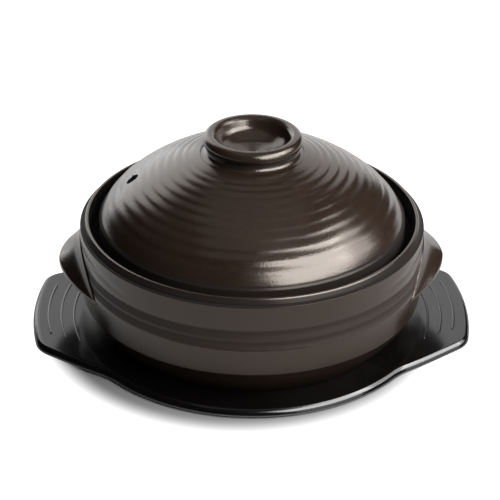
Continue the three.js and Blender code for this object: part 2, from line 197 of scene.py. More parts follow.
class Bench:
    """Node tree under construction."""

    def __init__(self, tree: bpy.types.NodeTree) -> None:
        """Takes the tree that nodes are added to."""
        self.tree = tree

    @classmethod
    def within(cls, owner: bpy.types.Material | bpy.types.World) -> "Bench":
        """Empties the tree of a material or world.

        Args:
            owner: Material or world.

        Returns:
            The bench on its tree.
        """
        owner.use_nodes = True
        owner.node_tree.nodes.clear()
        return cls(owner.node_tree)

    def node(
        self,
        kind: str,
        settings: dict[str, Any] | None = None,
        inputs: dict[str | int, Link] | None = None,
    ) -> bpy.types.Node:
        """Adds a node.

        Args:
            kind: Type name of the node.
            settings: Settings by name, made before the sockets are filled. "stops" fills a
                colour ramp.
            inputs: Values or links by the socket's name or number. A node stands for its
                first output.

        Returns:
            The new node.
        """
        made = self.tree.nodes.new(kind)
        for name, value in (settings or {}).items():
            if name == "stops":
                self.fill_ramp(made.color_ramp, value)
            else:
                setattr(made, name, value)
        for name, value in (inputs or {}).items():
            if isinstance(value, Signal):
                value = value.socket
            elif isinstance(value, bpy.types.Node):
                value = value.outputs[0]
            if isinstance(value, bpy.types.NodeSocket):
                self.tree.links.new(value, made.inputs[name])
            else:
                made.inputs[name].default_value = value
        return made

    def value(
        self,
        kind: str,
        settings: dict[str, Any] | None = None,
        inputs: dict[str | int, Link] | None = None,
        output: str | int = 0,
    ) -> Signal:
        """Adds a node as node does and gives the named or numbered output."""
        return Signal(self, self.node(kind, settings, inputs).outputs[output])

    def split(self, vector: bpy.types.NodeSocket) -> list[Signal]:
        """Gives the three coordinates of a vector."""
        made = self.node("ShaderNodeSeparateXYZ", None, {"Vector": vector})
        return [Signal(self, output) for output in made.outputs]

    def place_in(self) -> bpy.types.NodeSocket:
        """Gives the Object coordinates."""
        return self.node("ShaderNodeTexCoord").outputs["Object"]

    def noise(self, where: Link, pattern: Pattern) -> Signal:
        """Adds a noise pattern about 0.5 on the given coordinates."""
        sizes = {"Scale": pattern.scale, "Detail": pattern.detail, "Roughness": pattern.rough}
        return self.value("ShaderNodeTexNoise", None, {"Vector": where, **sizes})

    def ramp(self, deep: Colour, pale: Colour, share: Link) -> bpy.types.Node:
        """Adds a colour ramp from deep to pale."""
        stops = [(0.0, deep), (1.0, pale)]
        return self.node("ShaderNodeValToRGB", {"stops": stops}, {"Fac": share})

    def bump(self, relief: Link) -> bpy.types.Node:
        """Adds a bump for a relief in metres."""
        sizes = {"Strength": 1.0, "Distance": 1.0, "Height": relief}
        return self.node("ShaderNodeBump", None, sizes)

    def surface(self, shader: bpy.types.Node) -> None:
        """Ends a material's tree with its shader."""
        self.node("ShaderNodeOutputMaterial", None, {"Surface": shader})

    @staticmethod
    def fill_ramp(ramp: bpy.types.ColorRamp, stops: Sequence[tuple[float, Colour]]) -> None:
        """Gives a colour ramp its stops.

        Args:
            ramp: Ramp to fill.
            stops: Positions and colours in order.
        """
        while len(ramp.elements) < len(stops):
            ramp.elements.new(1.0)
        for element, (position, colour) in zip(ramp.elements, stops):
            element.position = position
            element.color = (*colour, 1.0)


class Recipe:
    """Geometry Nodes tree with named sizes, run once on a piece."""

    def __init__(self, name: str) -> None:
        """Starts a tree with one geometry in and one out.

        Args:
            name: Name of the tree.
        """
        self.tree = bpy.data.node_groups.new(name, "GeometryNodeTree")
        self.bench = Bench(self.tree)
        for direction in ("INPUT", "OUTPUT"):
            self.tree.interface.new_socket(
                "Geometry", in_out=direction, socket_type="NodeSocketGeometry"
            )
        self.entry = self.bench.node("NodeGroupInput")
        self.sizes: dict[str, Any] = {}

    def size(self, name: str, value: float, kind: str = "NodeSocketFloat") -> Signal:
        """Adds a named input.

        Args:
            name: Name of the input.
            value: Value that the modifier gives it.
            kind: Socket type.

        Returns:
            The input as a signal.
        """
        item = self.tree.interface.new_socket(name, in_out="INPUT", socket_type=kind)
        self.sizes[item.identifier] = value
        return Signal(self.bench, self.entry.outputs[name])

    def run(
        self, piece: bpy.types.Object, geometry: bpy.types.Node, material: bpy.types.Material
    ) -> None:
        """Ends the tree, runs it on a piece and keeps the result as plain mesh.

        Args:
            piece: Object that takes the result.
            geometry: Last node of the tree.
            material: Finish of the result.
        """
        real = self.bench.node("GeometryNodeRealizeInstances", None, {"Geometry": geometry})
        dressed = self.bench.node(
            "GeometryNodeSetMaterial", None, {"Geometry": real, "Material": material}
        )
        self.bench.node("NodeGroupOutput", None, {"Geometry": dressed})
        modifier = piece.modifiers.new(self.tree.name, "NODES")
        modifier.node_group = self.tree
        for identifier, value in self.sizes.items():
            modifier[identifier] = value
        settle(piece)


def settle(piece: bpy.types.Object) -> None:
    """Turns a piece with modifiers into plain mesh.

    Args:
        piece: Object whose modifiers are applied and removed.
    """
    depsgraph = bpy.context.evaluated_depsgraph_get()
    mesh = bpy.data.meshes.new_from_object(piece.evaluated_get(depsgraph))
    piece.modifiers.clear()
    piece.data = mesh


def stand(name: str, data: bpy.types.ID) -> bpy.types.Object:
    """Adds an object to the scene.

    Args:
        name: Name of the object.
        data: Mesh, lamp or camera that it shows.

    Returns:
        The new object.
    """
    made = bpy.data.objects.new(name, data)
    bpy.context.scene.collection.objects.link(made)
    return made


def smooth_step(values: np.ndarray, low: float, high: float) -> np.ndarray:
    """Gives a smooth step from 0 at low to 1 at high, with flat ends."""
    share = np.clip((values - low) / (high - low), 0.0, 1.0)
    return share * share * (3.0 - 2.0 * share)


def soft_least(first: np.ndarray, second: np.ndarray, blend: float) -> np.ndarray:
    """Gives the smaller of two heights, which run together over the blend."""
    gap = np.clip(0.5 + 0.5 * (second - first) / blend, 0.0, 1.0)
    return second * (1.0 - gap) + first * gap - blend * gap * (1.0 - gap)


@dataclass(frozen=True)
class Corner:
    """Corner of an outline, with the radius that rounds it."""

    across: float
    up: float
    radius: float = 0.0


def offsets(across: float, up: float, rows: Rows) -> list[Corner]:
    """Gives corners set off from a point.

    Args:
        across: Distance of the point from the axis.
        up: Height of the point.
        rows: Offset outwards, offset upwards and any radius of each corner, in millimetres.

    Returns:
        The corners in order.
    """
    corners = []
    for out, rise, *radius in rows:
        spot = across + out * MM, up + rise * MM
        corners.append(Corner(*spot, *(size * MM for size in radius)))
    return corners


def rounded(corners: Sequence[Corner], step: float) -> np.ndarray:
    """Turns corners into points with true arcs.

    Args:
        corners: Corners in order, both ends included.
        step: Longest straight stretch between two points.

    Returns:
        Rows of distance from the axis and height.
    """
    under_half, least_points, most_turn = 0.48, 3, 0.15
    spots = [np.array([corner.across, corner.up]) for corner in corners]
    path = [spots[0]]
    for before, here, after, corner in zip(spots, spots[1:], spots[2:], corners[1:]):
        back, ahead = np.linalg.norm(here - before), np.linalg.norm(after - here)
        inward, onward = (here - before) / back, (after - here) / ahead
        cross = inward[0] * onward[1] - inward[1] * onward[0]
        turn = math.atan2(cross, float(inward @ onward))
        room = under_half * min(back, ahead)
        reach = min(corner.radius * math.tan(abs(turn) / 2), room)
        if reach < WELD:
            path.append(here)
            continue
        radius = reach / math.tan(abs(turn) / 2)
        side = math.copysign(1.0, turn)
        centre = here - inward * reach + side * radius * np.array([-inward[1], inward[0]])
        start = math.atan2(*(here - inward * reach - centre)[::-1])
        fine = math.ceil(abs(turn) * radius / step), math.ceil(abs(turn) / most_turn)
        for share in np.linspace(0.0, 1.0, max(least_points, *fine) + 1):
            angle = start + turn * share
            path.append(centre + radius * np.array([math.cos(angle), math.sin(angle)]))
    path.append(spots[-1])
    points = [path[0]]
    for here, after in zip(path, path[1:]):
        count = max(1, math.ceil(np.linalg.norm(after - here) / step))
        points += [here + (after - here) * (index + 1) / count for index in range(count)]
    return np.array(points)


def shell(name: str, grid: np.ndarray, material: bpy.types.Material) -> bpy.types.Object:
    """Makes a closed piece from rows of points, each row a closed ring.

    Args:
        name: Name of the piece.
        grid: Points by row, by place in the row, by coordinate.
        material: Finish of the piece.

    Returns:
        The new object with smooth shading.
    """
    rows, columns = grid.shape[:2]
    here = np.arange(rows * columns).reshape(rows, columns)
    beside = np.roll(here, -1, axis=1)
    faces = np.stack([here[:-1], beside[:-1], beside[1:], here[1:]], axis=-1).reshape(-1, 4)
    mesh = bpy.data.meshes.new(name)
    mesh.from_pydata(grid.reshape(-1, 3).tolist(), [], faces.tolist())
    work = bmesh.new()
    work.from_mesh(mesh)
    bmesh.ops.remove_doubles(work, verts=work.verts, dist=WELD)
    bmesh.ops.dissolve_degenerate(work, edges=work.edges, dist=WELD)
    work.to_mesh(mesh)
    work.free()
    mesh.shade_smooth()
    mesh.materials.append(material)
    return stand(name, mesh)


def revolved(outline: np.ndarray, sides: int) -> np.ndarray:
    """Turns an outline about Z.

    Args:
        outline: Rows of distance from the axis and height.
        sides: Number of points round the axis.

    Returns:
        Grid of points by row and by place round the axis.
    """
    angles = np.linspace(0.0, 2.0 * math.pi, sides, endpoint=False)
    across = outline[:, :1]
    up = np.repeat(outline[:, 1:], sides, axis=1)
    return np.stack([across * np.cos(angles), across * np.sin(angles), up], axis=-1)


def place(piece: bpy.types.Object, body: Body, slot: str, *nodes: str) -> None:
    """Fits a finished piece to the part.

    Args:
        piece: The piece.
        body: Body that it rides on.
        slot: Material slot of the record; not used.
        nodes: Nodes of the part that it stands for.
    """
    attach(piece, body.value)
    if nodes:
        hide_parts(*nodes)
    log.info("%s rides %s, %d faces", piece.name, body.value, len(piece.data.polygons))


@dataclass(frozen=True)
class Zone:
    """Ring about the axis with soft edges. The glaze uses such rings for its painted shade and
    for its rougher combed band.
    """

    inner: Span
    outer: Span
    low: Span
    high: Span
    share: float = 1.0

    def mask(self, across: Signal, up: Signal) -> Signal:
        """Gives the zone's share at a distance from the axis and a height."""
        ring = across.band(self.inner, self.outer)
        return ring * up.band(self.low, self.high) * self.share


@dataclass(frozen=True)
class Glaze:
    """Satin brown glaze with a fine grain over thrown clay, with dark matte clay painted in as
    shade in its gaps and hollows.
    """

    slot: str = "brown_glaze"
    deep: Colour = (0.0105, 0.0060, 0.0040)
    pale: Colour = (0.0205, 0.0128, 0.0092)
    roughness: float = 0.21
    ior: float = 1.56
    sheen_tint: Colour = (1.0, 0.90, 0.81)
    grain: Pattern = Pattern(1.0 / MM, 1.5)
    grain_depth: float = 0.07 * MM
    grain_gloss: float = 0.16
    clouds: Pattern = Pattern(1.0 / (28.0 * MM), 4.0, 0.55)
    cloud_tone: float = 0.9
    cloud_gloss: float = 0.10
    specks: Pattern = Pattern(0.45 / MM, 2.0)
    speck_tone: float = 0.7
    lines: Pattern = Pattern(1.0 / (0.8 * MM), 2.0)
    line_depth: float = 0.012 * MM
    # Dark matte clay. It is painted in as shade in the vent's bore, the gap round the lid, on
    # the lip's outer face and under the knob's roll. A share of it is mixed into the rougher
    # combed band. In the gallery it also stands for the unglazed seat.
    shade_and_matte_tone: Colour = (0.006, 0.0045, 0.004)
    shade_and_matte_roughness: float = 0.9
    shade_and_matte_gloss: float = 0.2
    gallery: Zone = Zone(
        (0.0790, 0.0805), (0.0955, 0.0965), (0.0480, 0.0520), (0.0675, 0.0705)
    )
    flange: Zone = Zone(
        (0.0870, 0.0877), (0.0905, 0.0915), (0.0660, 0.0680), (0.0740, 0.0748), 0.75
    )
    lip: Zone = Zone(
        (0.0967, 0.0972), (0.1003, 0.1006), (0.0679, 0.0682), (0.0712, 0.0716), 0.9
    )
    neck: Zone = Zone(
        (0.0225, 0.0230), (0.0280, 0.0285), (0.1125, 0.1145), (0.1172, 0.1178), 0.85
    )
    vent: Span = (-69.2 * MM, 3.63 * MM)
    vent_edge: Span = (3.3 * MM, 3.5 * MM)
    vent_low: Span = (79.0 * MM, 81.0 * MM)
    grooves: Zone = Zone(
        (0.0970, 0.0980), (0.1002, 0.1005), (0.0406, 0.0420), (0.0522, 0.0540)
    )
    ridge: Zone = Zone(
        (0.0970, 0.0980), (0.1002, 0.1005), (0.0459, 0.0470), (0.0475, 0.0486), 0.45
    )
    combed_share: float = 0.36
    combed_roughness: float = 0.58

    def material(self) -> bpy.types.Material:
        """Builds the glaze.

        Returns:
            The material, patterned on Object coordinates.
        """
        made = bpy.data.materials.new(self.slot)
        bench = Bench.within(made)
        where = bench.place_in()
        east, north, up = bench.split(where)
        across = east.hypot(north)
        section = bench.node("ShaderNodeCombineXYZ", None, {"X": across, "Y": up})
        grain = bench.noise(where, self.grain)
        clouds = bench.noise(where, self.clouds)
        specks = bench.noise(where, self.specks)
        lines = bench.noise(section, self.lines)
        tone = 0.5 + (clouds - 0.5) * self.cloud_tone + (specks - 0.5) * self.speck_tone
        polish = self.roughness + (clouds - 0.5) * self.cloud_gloss
        polish = polish + (grain - 0.5) * self.grain_gloss
        combed = self.grooves.mask(across, up) - self.ridge.mask(across, up)
        skin = bench.node(
            "ShaderNodeBsdfPrincipled",
            None,
            {
                "Base Color": bench.ramp(self.deep, self.pale, tone.most(0.0).least(1.0)),
                "Roughness": polish + combed * (self.combed_roughness - polish),
                "Normal": bench.bump(grain * self.grain_depth + lines * self.line_depth),
                "IOR": self.ior,
                "Specular Tint": (*self.sheen_tint, 1.0),
            },
        )
        clay = bench.node(
            "ShaderNodeBsdfPrincipled",
            None,
            {
                "Base Color": (*self.shade_and_matte_tone, 1.0),
                "Roughness": self.shade_and_matte_roughness,
                "Specular IOR Level": self.shade_and_matte_gloss,
            },
        )
        # Painted shade: dark matte clay in the vent, the gap round the lid, on the lip's face
        # and under the knob. A share of it also dulls the combed band.
        shade_and_matte_share = self.painted_shade(east, north, up).most(combed * self.combed_share)
        bench.surface(bench.node("ShaderNodeMixShader", None, {0: shade_and_matte_share, 1: skin, 2: clay}))
        return made

    def painted_shade(self, east: Signal, north: Signal, up: Signal) -> Signal:
        """Gives the painted shade, dark matte clay in the vent, gallery, flange, lip and under
        the knob.

        Args:
            east: Place along X.
            north: Place along Y.
            up: Height.

        Returns:
            The share of painted shade.
        """
        across = east.hypot(north)
        off_vent = (east - self.vent[0]).hypot(north - self.vent[1])
        share = up.ease(*self.vent_low) * (1.0 - off_vent.ease(*self.vent_edge))
        for zone in (self.gallery, self.flange, self.lip, self.neck):
            share = share.most(zone.mask(across, up))
        return share


@dataclass(frozen=True)
class Wings:
    """Rise of the tray's wings along X."""

    lift: float = 4.0 * MM
    start: float = 92.0 * MM
    stop: float = 130.0 * MM
    bend: float = 8.0

    def height(self, east: np.ndarray) -> np.ndarray:
        """Gives the rise at places along X."""
        share = (np.abs(east) - self.start) / (self.stop - self.start)
        return self.lift * np.logaddexp(0.0, share * self.bend) / self.bend

    def signal(self, east: Signal, lift: Link, start: Link, stop: Link) -> Signal:
        """Gives the same rise in a node tree, with its sizes as links."""
        share = ((east * east).root() - start) / (stop - start)
        return (1.0 + (share * self.bend).exponent()).logarithm() * lift / self.bend


@dataclass(frozen=True)
class Melamine:
    """Glossy black moulded melamine."""

    slot: str = "black_melamine"
    deep: Colour = (0.0012, 0.0010, 0.0010)
    pale: Colour = (0.0032, 0.0027, 0.0026)
    roughness: float = 0.16
    ior: float = 1.52
    clouds: Pattern = Pattern(1.0 / (18.0 * MM), 3.0)
    cloud_gloss: float = 0.08
    ripple: Pattern = Pattern(1.0 / (5.0 * MM), 1.0, 0.4)
    ripple_depth: float = 0.006 * MM
    # Painted reflection: a paler, rougher band low on the skirt, standing for the floor's light
    # caught at the edge.
    reflection_line_tone: Colour = (0.08, 0.08, 0.077)
    reflection_line_low: float = 1.4 * MM
    reflection_line_high: float = 2.0 * MM
    reflection_line_blur: float = 0.15 * MM
    reflection_line_roughness: float = 0.3

    def material(self, wings: Wings) -> bpy.types.Material:
        """Builds the plastic, with a painted reflection: a paler band low on the skirt.

        Args:
            wings: Rise of the wings, which the painted reflection band follows.

        Returns:
            The material, patterned on Object coordinates.
        """
        made = bpy.data.materials.new(self.slot)
        bench = Bench.within(made)
        where = bench.place_in()
        east, _, up = bench.split(where)
        clouds = bench.noise(where, self.clouds)
        ripple = bench.noise(where, self.ripple)
        # Painted reflection band low on the skirt, lifted with the wings.
        level = up - wings.signal(east, wings.lift, wings.start, wings.stop)
        low, high, blur = self.reflection_line_low, self.reflection_line_high, self.reflection_line_blur
        reflection_line = level.band((low - blur, low), (high, high + blur))
        plain = bench.ramp(self.deep, self.pale, clouds)
        tones = {0: reflection_line, 6: plain, 7: (*self.reflection_line_tone, 1.0)}
        with_reflection_line = bench.node("ShaderNodeMix", {"data_type": "RGBA"}, tones)
        gloss = self.roughness + (clouds - 0.5) * self.cloud_gloss + reflection_line * self.reflection_line_roughness
        skin = bench.node(
            "ShaderNodeBsdfPrincipled",
            None,
            {
                "Base Color": with_reflection_line.outputs[2],
                "Roughness": gloss,
                "Normal": bench.bump(ripple * self.ripple_depth),
                "IOR": self.ior,
            },
        )
        bench.surface(skin)
        return made


@dataclass
class Bowl:
    """Thrown pot with lip, neck groove, turned grooves, keel, foot and lid gallery.

    Tables hold corners of the outline in millimetres, as offsets takes them. The wipes'
    levels are millimetres from the rim, and their stretches degrees from the front.
    """

    glaze: bpy.types.Material
    slot: str
    radius: float
    foot: float
    rim: float
    ledge: float
    sides: int = 256
    outer_step: float = 0.9 * MM
    inner_step: float = 3.0 * MM
    foot_radius: float = 85.0 * MM
    foot_ring: Rows = ((-9.5, 1.5, 1.0), (-8.0, 0.0, 0.8), (-0.5, 0.0, 0.9))
    belly: Span = (0.6, 0.52)
    belly_round: float = 60.0 * MM
    keel_drop: float = 47.0 * MM
    keel_edge: Rows = ((-0.5, -0.5, 0.6), (-0.05, 0.4, 0.5))
    grooves: Rows = (
        (0.0, -31.6, 4.0),
        (-0.7, -28.8, 6.0),
        (-0.1, -25.0, 8.0),
        (-0.7, -21.6, 8.0),
        (0.0, -17.8, 9.0),
    )
    neck: Rows = ((0.0, -3.8, 0.5), (-1.7, -3.3, 0.3))
    lip: Rows = ((-1.6, -2.8, 0.3), (-3.4, -0.1, 0.7), (-3.7, 0.0))
    mouth: Rows = ((-3.8, 0.0), (-5.1, 0.0, 0.9))
    gallery: Rows = (
        (-5.1, 0.0, 1.0),
        (-18.1, 0.0, 1.2),
        (-18.1, -4.0, 1.0),
        (-9.0, -13.5, 6.0),
    )
    hollow: Rows = ((-9.0, 8.0, 22.0),)
    wipe_depth: float = 0.45 * MM
    wipe_skin: float = 1.2 * MM
    wipe_band: Span = (-40.0, -6.0)
    wipe_level: float = -12.0
    wipe_half: float = 2.7
    wipe_start: Span = (40.0, 58.0)
    wipe_stop: Span = (70.0, 84.0)
    left_sag: float = 2.2
    sag_stretch: Span = (-62.0, -46.0)

    def outside(self) -> np.ndarray:
        """Gives the outline from the middle of the underside to the top of the lip.

        Returns:
            Rows of distance from the axis and height.
        """
        keel = self.rim - self.keel_drop
        ring = offsets(self.foot_radius, self.foot, self.foot_ring)
        out = self.foot_radius + self.belly[0] * (self.radius - self.foot_radius)
        corners = [
            Corner(0.0, ring[0].up),
            *ring,
            Corner(out, self.foot + self.belly[1] * (keel - self.foot), self.belly_round),
            *offsets(self.radius, keel, self.keel_edge),
            *offsets(self.radius, self.rim, self.grooves + self.neck + self.lip),
        ]
        return rounded(corners, self.outer_step)

    def inside(self) -> np.ndarray:
        """Gives the outline from the top of the lip down to the middle of the floor.

        Returns:
            Rows of distance from the axis and height.
        """
        floor = offsets(self.radius, self.foot, self.hollow)
        corners = [
            *offsets(self.radius, self.rim, self.mouth),
            *offsets(self.radius, self.ledge, self.gallery),
            *floor,
            Corner(0.0, floor[0].up),
        ]
        return rounded(corners, self.inner_step)

    def wipes(self, grid: np.ndarray) -> np.ndarray:
        """Presses the potter's finger wipes beside the ears into the wall.

        Args:
            grid: Points of the bowl.

        Returns:
            The points with the wipes pressed in.
        """
        east, north, up = np.moveaxis(grid, -1, 0)
        across = np.hypot(east, north)
        bearing = np.degrees(np.arctan2(east, -north))
        drop = (up - self.rim) / MM
        low, high = self.wipe_band
        outer = (across > self.radius - self.wipe_skin) & (drop < high) & (drop > low)
        press = np.zeros_like(drop)
        for side in Side:
            for turn in (bearing * side.value, 180.0 - bearing * side.value):
                middle = self.wipe_level
                if side is Side.LEFT:
                    middle = middle - self.left_sag * smooth_step(-turn, *self.sag_stretch)
                along = smooth_step(turn, *self.wipe_start)
                along = along * (1.0 - smooth_step(turn, *self.wipe_stop))
                dip = 1.0 - np.abs(drop - middle) / self.wipe_half
                press += along * smooth_step(dip, 0.0, 1.0)
        shrink = 1.0 - outer * press * self.wipe_depth / np.maximum(across, self.radius / 2)
        return np.stack([east * shrink, north * shrink, up], axis=-1)

    def build(self) -> None:
        """Builds, dresses and places the bowl."""
        outline = np.concatenate([self.outside(), self.inside()])
        grid = self.wipes(revolved(outline, self.sides))
        place(shell("bowl_thrown", grid, self.glaze), Body.POT, self.slot, "bowl")


@dataclass
class Ear:
    """Pressed lug luted to the wall of the bowl."""

    glaze: bpy.types.Material
    slot: str
    side: Side
    radius: float
    rim: float
    reach: float
    half_angle: float = 25.5
    overrun: float = 0.5
    fullness: float = 0.85
    front_taper: float = 1.4
    hollow: float = 1.9
    lip: float = 0.6 * MM
    sunk: float = 2.0 * MM
    top_drop: float = 11.0 * MM
    top_fall: float = 3.0 * MM
    front_fall: float = 24.0 * MM
    front_power: float = 3.2
    apex: float = 10.0
    tip_drop: float = 27.3 * MM
    tip_fall: float = 6.4 * MM
    least_top: float = 0.5 * MM
    edge_drop: float = 31.2 * MM
    edge_fall: float = 4.5 * MM
    tip_round: float = 1.2 * MM
    edge_round: float = 0.6 * MM
    round_share: float = 0.3
    tip_allowance: float = 0.45
    under_share: float = 0.3
    under_rise: float = 0.4 * MM
    crown_points: int = 28
    tip_points: int = 7
    edge_points: int = 6
    rows: int = 121

    def section(self, angle: float) -> np.ndarray:
        """Gives the closed section of the ear, hollow on top and with a narrow band below.

        Args:
            angle: Bearing from the middle of the ear in degrees.

        Returns:
            Rows of distance from the axis and height.
        """
        share = min(abs(angle) / self.half_angle, 1.0)
        ahead = (self.apex - angle * self.side.value) / (self.half_angle + self.apex)
        fall = self.front_fall * min(max(ahead, 0.0), 1.0) ** self.front_power
        tip = self.rim - self.tip_drop
        if angle * self.side.value < 0.0:
            full = self.reach * (1.0 - share**self.front_taper)
            tip -= self.tip_fall * share**self.front_taper
        else:
            full = self.reach * (1.0 - share**2) ** self.fullness
            fall += self.top_fall * share**2
        top = max(self.rim - self.top_drop - fall, tip + self.least_top)
        edge = self.rim - self.edge_drop - self.edge_fall * share**2
        tip_round = min(self.tip_round, self.round_share * full)
        edge_round = min(self.edge_round, self.round_share * full)
        reach = full - self.tip_allowance * tip_round
        lip = min(self.lip, reach)
        falls = np.linspace(0.0, 1.0, self.crown_points)
        out = lip + (reach - lip) * falls**self.hollow
        crown = np.stack([out, top - (top - tip) * falls], 1)
        slope = math.atan2(-(top - tip), self.hollow * (reach - lip))
        outer = self.arc(crown[-1], slope, -math.pi / 2, tip_round, self.tip_points)
        foot = np.array([outer[-1, 0], min(edge + edge_round, outer[-1, 1])])
        lower = self.arc(foot, -math.pi / 2, -math.pi, edge_round, self.edge_points)
        base = edge + self.under_rise
        under = np.array([[self.under_share * lower[-1, 0], base], [0.0, base]])
        root = np.array([[-self.sunk, base], [-self.sunk, top]])
        ring = np.concatenate([crown, outer, foot[None], lower, under, root])
        return ring + np.array([self.radius, 0.0])

    @staticmethod
    def arc(
        start: np.ndarray, heading: float, end: float, radius: float, steps: int
    ) -> np.ndarray:
        """Walks round a bend.

        Args:
            start: Point that the bend starts from.
            heading: Direction at the start in radians.
            end: Direction at the end.
            radius: Radius of the bend.
            steps: Number of points.

        Returns:
            Rows of points after the start.
        """
        turn = (end - heading) / steps
        headings = heading + turn * (np.arange(steps) + 0.5)
        moves = abs(turn) * radius * np.stack([np.cos(headings), np.sin(headings)], 1)
        return start + np.cumsum(moves, axis=0)

    def build(self) -> None:
        """Builds, dresses and places the ear."""
        span = self.half_angle + self.overrun
        half_turn = math.pi if self.side is Side.LEFT else 0.0
        rings = []
        for angle in span * np.sin(np.linspace(-math.pi / 2, math.pi / 2, self.rows)):
            across, up = self.section(float(angle)).T
            turn = math.radians(float(angle)) + half_turn
            rings.append(np.stack([across * math.cos(turn), across * math.sin(turn), up], 1))
        first, last = (np.full_like(ring, ring.mean(axis=0)) for ring in (rings[0], rings[-1]))
        name = self.side.name.lower()
        piece = shell(f"ear_{name}_pressed", np.stack([first, *rings, last]), self.glaze)
        place(piece, Body.POT, self.slot, f"ear_{name}")


@dataclass
class Lid:
    """Thrown dome with throwing rings, flange and steam vent.

    Tables hold corners of the outline in millimetres, as offsets takes them.
    """

    glaze: bpy.types.Material
    slot: str
    seat: float
    flange: float
    rim: float
    crown_seat: float
    sides: int = 256
    step: float = 0.5 * MM
    flange_foot: Rows = ((-9.0, 0.0, 0.8), (0.0, 0.0, 1.2))
    brim_rise: float = 1.6 * MM
    brim_edge: Rows = ((0.0, -1.6, 0.8),)
    brim_inner: Rows = ((0.2, -0.4, 0.3),)
    shoulder: float = 76.0 * MM
    haunch_radius: float = 52.7 * MM
    haunch_end: float = 30.0
    haunch_round: float = 0.3 * MM
    haunch_points: int = 26
    dome_radius: float = 118.35 * MM
    dome_drop: float = 3.0 * MM
    dome_points: int = 132
    wall: float = 6.0 * MM
    wall_points: int = 30
    crown_radius: float = 30.0 * MM
    crown_inner: float = 29.0 * MM
    crown_sunk: float = 2.0 * MM
    first_ring: float = 38.6 * MM
    last_ring: float = 86.0 * MM
    ring_pitch: float = 5.1 * MM
    ring_depth: float = 0.14 * MM
    ring_skew: float = 0.7
    ring_facing: Span = (0.2, 0.5)
    sway: Pattern = Pattern(22.0, 1.0)
    sway_share: float = 0.35
    unevenness: Pattern = Pattern(35.0, 1.0)
    least_depth: float = 0.6
    uneven_depth: float = 0.8
    inner_depth: float = 1.6
    inner_loss: float = 0.6
    inner_stretch: Span = (50.0 * MM, 70.0 * MM)
    outer_gain: float = 0.8
    outer_stretch: Span = (72.0 * MM, 80.0 * MM)
    vent_radius: float = 3.25 * MM
    vent_reach: float = 69.3 * MM
    vent_bearing: float = 177.0
    vent_cut: Span = (70.0 * MM, 110.0 * MM)
    vent_step: float = 50.0 * MM
    vent_sides: int = 40

    def dome(self, across: np.ndarray, depth: float) -> np.ndarray:
        """Gives points of the dome.

        Args:
            across: Distances from the axis.
            depth: Depth under the outer face.

        Returns:
            Rows of distance from the axis and height.
        """
        radius = self.dome_radius - depth
        up = np.sqrt(radius**2 - across**2) - self.dome_drop
        return np.stack([across, up], axis=1)

    def haunch(self) -> np.ndarray:
        """Gives the rounder foot of the dome, from its edge up to the shoulder.

        Returns:
            Rows of distance from the axis and height.
        """
        across, up = self.dome(np.array([self.shoulder]), 0.0)[0]
        start = math.acos(self.shoulder / self.dome_radius)
        lean = np.linspace(math.radians(self.haunch_end), start, self.haunch_points)
        out = across + self.haunch_radius * (np.cos(lean) - math.cos(start))
        high = up + self.haunch_radius * (np.sin(lean) - math.sin(start))
        return np.stack([out, high], axis=1)

    def outline(self) -> np.ndarray:
        """Gives the outline from under the crown, over the flange and up to the knob.

        Returns:
            Rows of distance from the axis and height.
        """
        brim = self.rim + self.brim_rise
        foot = offsets(self.flange, self.seat, self.flange_foot)
        under = self.dome(np.linspace(0.0, foot[0].across, self.wall_points), self.wall)
        haunch = self.haunch()
        corners = [
            Corner(*under[-1]),
            *foot,
            *offsets(self.flange, brim, self.brim_edge),
            *offsets(haunch[0, 0], brim, self.brim_inner),
            Corner(*haunch[0], self.haunch_round),
            Corner(*haunch[1]),
        ]
        flange = np.concatenate([rounded(corners, self.step), haunch[2:]])
        crown = self.dome(np.linspace(self.shoulder, self.crown_radius, self.dome_points), 0.0)
        low = self.crown_seat - self.crown_sunk
        top = np.array([[self.crown_inner, low], [0.0, low]])
        return np.concatenate([under[:-1], flange[:-1], crown, top])

    def throw_rings(self, piece: bpy.types.Object) -> None:
        """Raises the throwing rings on the dome by rule.

        Args:
            piece: The smooth lid.
        """
        recipe = Recipe("throwing_rings")
        bench = recipe.bench
        first = recipe.size("First ring", self.first_ring)
        last = recipe.size("Last ring", self.last_ring)
        pitch = recipe.size("Ring pitch", self.ring_pitch)
        depth = recipe.size("Ring depth", self.ring_depth)
        where = bench.node("GeometryNodeInputPosition").outputs[0]
        facing = bench.node("GeometryNodeInputNormal").outputs[0]
        east, north, _ = bench.split(where)
        across = east.hypot(north)
        sway = (bench.noise(where, self.sway) - 0.5) * self.sway_share
        phase = ((across - first) / pitch + sway) % 1.0
        warped = phase / (phase + (1.0 - phase) * self.ring_skew)
        wave = (warped * (2.0 * math.pi)).cosine() * 0.5 - 0.5
        inner = across.ease(first - pitch, first)
        outer = 1.0 - across.ease(last - pitch * 0.5, last)
        on_top = bench.split(facing)[2].ease(*self.ring_facing)
        fade = self.inner_depth - across.ease(*self.inner_stretch) * self.inner_loss
        fade = fade + across.ease(*self.outer_stretch) * self.outer_gain
        strength = self.least_depth + bench.noise(where, self.unevenness) * self.uneven_depth
        lift = wave * depth * inner * outer * on_top * fade * strength
        scaled = {0: facing, "Scale": lift}
        offset = bench.node("ShaderNodeVectorMath", {"operation": "SCALE"}, scaled)
        moves = {"Geometry": recipe.entry.outputs["Geometry"], "Offset": offset}
        recipe.run(piece, bench.node("GeometryNodeSetPosition", None, moves), self.glaze)

